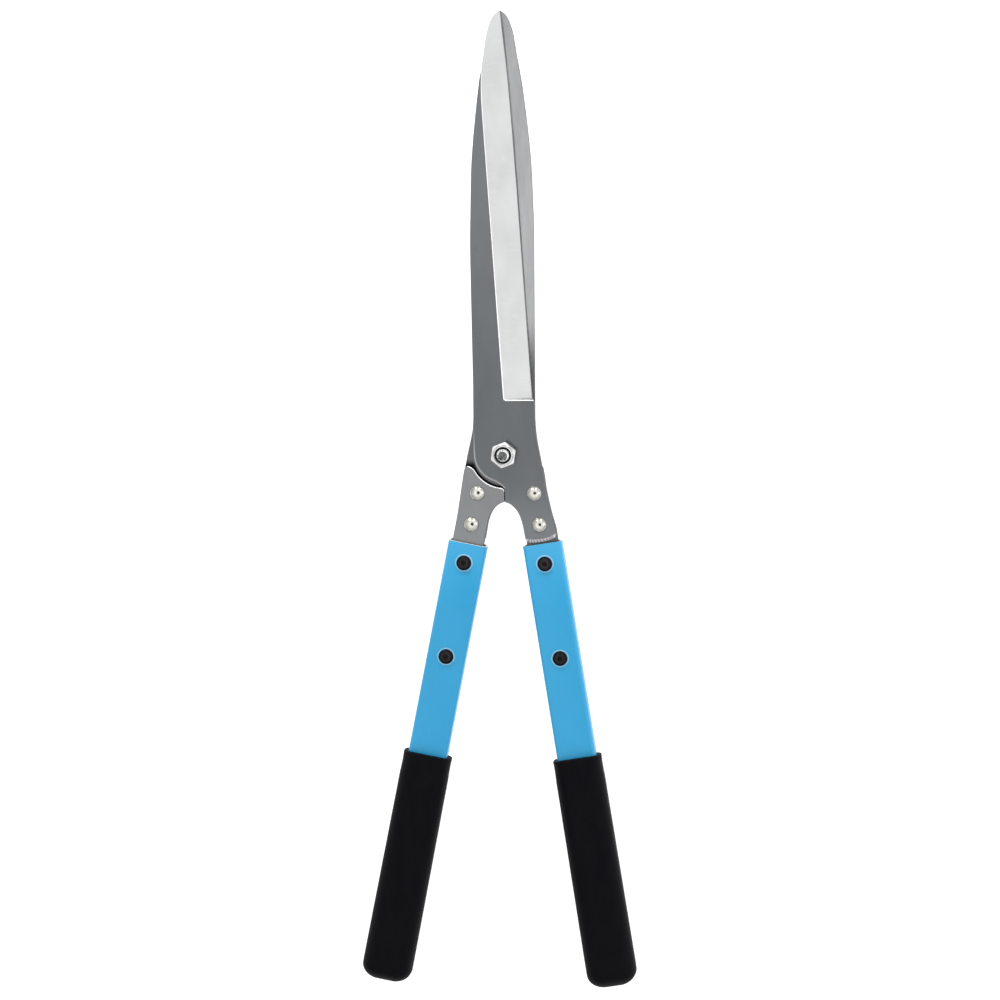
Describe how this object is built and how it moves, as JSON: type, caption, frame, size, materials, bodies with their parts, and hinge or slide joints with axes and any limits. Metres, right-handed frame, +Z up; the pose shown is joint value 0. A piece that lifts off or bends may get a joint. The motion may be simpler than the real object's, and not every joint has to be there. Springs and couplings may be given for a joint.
{
  "type": "hedge shears",
  "caption": "Hedge shears: two crossed steel blades on a nutted pivot bolt, riveted to tang plates that run into blue tube handles with black slip-on grips.",
  "frame": {"origin": "on the pivot axis, at the underside of the pivot bolt's head, which rests on the surface", "axes": "+Z up along the pivot axis to the nut, +Y from the pivot to the blade tips, +X towards the right handle, with the shears closed and lying flat"},
  "size_m": [0.1783, 0.6342, 0.0259],
  "materials": {
    "blade_steel": "satin",
    "plate_steel": "satin",
    "rivet_nickel": "polished",
    "pivot_zinc": "gloss",
    "black_nylon": "satin",
    "handle_paint": "satin",
    "packing_nylon": "matte",
    "black_screw": "satin",
    "grip_rubber": "matte"
  },
  "bodies": {
    "rear_half": {"rear_blade": "blade_steel", "pivot_bolt": "pivot_zinc", "pivot_washer": "pivot_zinc", "pivot_nut": "pivot_zinc", "nut_lock_ring": "black_nylon", "left_tang_plate": "plate_steel", "left_upper_rivet": "rivet_nickel", "left_lower_rivet": "rivet_nickel", "left_handle_tube": "handle_paint", "left_packing_block": "packing_nylon", "left_upper_screw": "black_screw", "left_lower_screw": "black_screw", "left_upper_screw_nut": "black_screw", "left_lower_screw_nut": "black_screw", "left_grip": "grip_rubber"},
    "front_half": {"front_blade": "blade_steel", "right_tang_plate": "plate_steel", "right_upper_rivet": "rivet_nickel", "right_lower_rivet": "rivet_nickel", "right_handle_tube": "handle_paint", "right_packing_block": "packing_nylon", "right_upper_screw": "black_screw", "right_lower_screw": "black_screw", "right_upper_screw_nut": "black_screw", "right_lower_screw_nut": "black_screw", "right_grip": "grip_rubber"}
  },
  "joints": [
    {"name": "blade_pivot", "type": "hinge", "parent": "rear_half", "child": "front_half", "pos_m": [0, 0, 0.01275], "axis": [0, 0, 1], "range_deg": [0, 45]}
  ]
}
